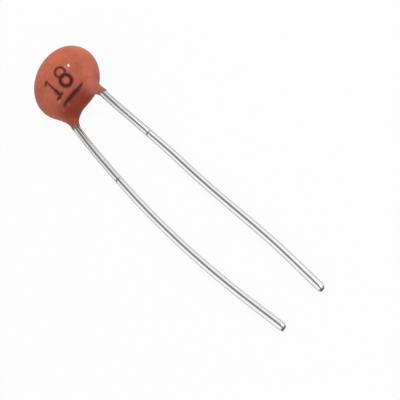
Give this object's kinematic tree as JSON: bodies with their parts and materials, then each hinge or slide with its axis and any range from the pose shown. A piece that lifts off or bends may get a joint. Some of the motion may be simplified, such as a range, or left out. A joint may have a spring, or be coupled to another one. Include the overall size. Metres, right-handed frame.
{
  "type": "ceramic disc capacitor",
  "caption": "Small round dipped ceramic disc capacitor lying on its back, with a plain printed value and long tinned wire leads for soldering to a circuit board.",
  "frame": {"origin": "centre of the flat on the disc's back, level with the middle of the disc", "axes": "+Z out of the printed face, +X along the print from left to right, the leads run toward -Y"},
  "size_m": [0.0073, 0.0266, 0.002],
  "materials": {
    "resin": "dipped resin, satin with a few glossy spots",
    "ceramic": "fired, matt",
    "silver": "fired silver, matt",
    "solder": "solder, satin",
    "tinned_wire": "bright tinned"
  },
  "bodies": {
    "root": {"coating": "resin", "ceramic_disc": "ceramic", "front_electrode": "silver", "rear_electrode": "silver", "front_solder": "solder", "rear_solder": "solder", "left_lead": "tinned_wire", "right_lead": "tinned_wire"}
  },
  "joints": []
}
